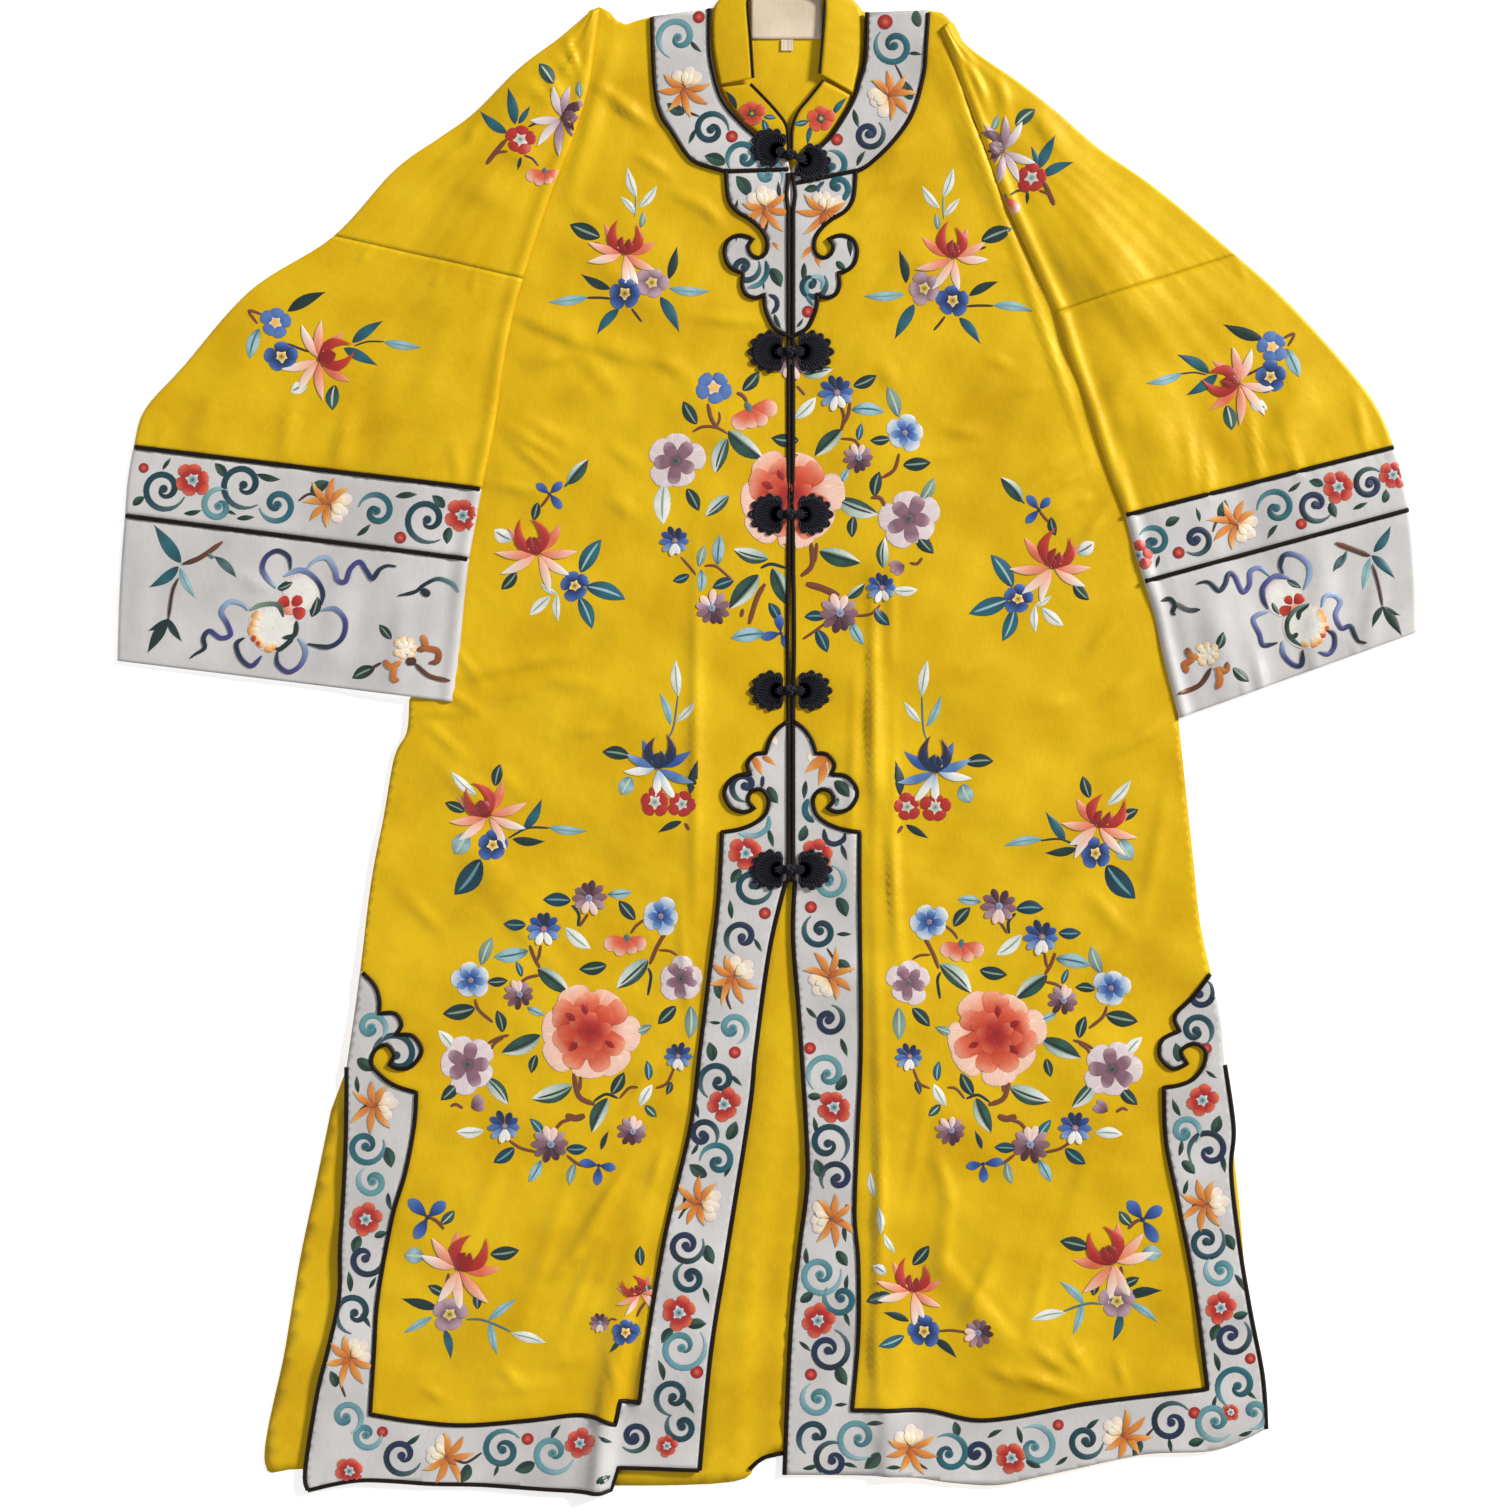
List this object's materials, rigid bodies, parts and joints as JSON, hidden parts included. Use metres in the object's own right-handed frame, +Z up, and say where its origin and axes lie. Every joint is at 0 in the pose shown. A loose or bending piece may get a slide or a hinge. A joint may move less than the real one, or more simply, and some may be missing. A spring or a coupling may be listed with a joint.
{
  "type": "chinese silk robe",
  "caption": "Long wide-sleeved silk robe laid flat, with stand collar, embroidered borders, cloud heads, side slits and cord frogs.",
  "frame": {"origin": "on the surface that the robe lies on, below the middle of the robe's outline", "axes": "+Z up, +Y towards the neck, +X towards the wearer's left"},
  "size_m": [1.04, 1.2141, 0.0128],
  "materials": {
    "yellow_satin": "glossy yellow silk satin with a fine warp",
    "white_satin": "soft white silk satin",
    "black_satin": "black satin piping",
    "black_cord": "twisted black silk cord",
    "label_cloth": "bare woven label",
    "embroidery_silk": "satin stitch in floss silk of many colours"
  },
  "bodies": {
    "root": {"back": "yellow_satin", "front_right": "yellow_satin", "front_left": "yellow_satin", "sleeve_upper_right": "yellow_satin", "sleeve_upper_left": "yellow_satin", "sleeve_lower_right": "yellow_satin", "sleeve_lower_left": "yellow_satin", "sleeve_band_right": "white_satin", "sleeve_band_left": "white_satin", "cuff_right": "white_satin", "cuff_left": "white_satin", "neck_band_right": "white_satin", "neck_band_left": "white_satin", "lappet_right": "white_satin", "lappet_left": "white_satin", "front_border_right": "white_satin", "front_border_left": "white_satin", "neck_band_piping_right": "black_satin", "neck_band_piping_left": "black_satin", "neckline_piping_right": "black_satin", "neckline_piping_left": "black_satin", "lappet_piping_right": "black_satin", "lappet_piping_left": "black_satin", "front_border_piping_right": "black_satin", "front_border_piping_left": "black_satin", "collar_back": "yellow_satin", "collar_right": "yellow_satin", "collar_left": "yellow_satin", "label": "label_cloth", "size_tab": "label_cloth", "frog_1_right": "black_cord", "frog_1_left": "black_cord", "frog_2_right": "black_cord", "frog_2_left": "black_cord", "frog_3_right": "black_cord", "frog_3_left": "black_cord", "frog_4_right": "black_cord", "frog_4_left": "black_cord", "frog_5_right": "black_cord", "frog_5_left": "black_cord", "knot_1": "black_cord", "knot_2": "black_cord", "knot_3": "black_cord", "knot_4": "black_cord", "knot_5": "black_cord"}
  },
  "joints": []
}
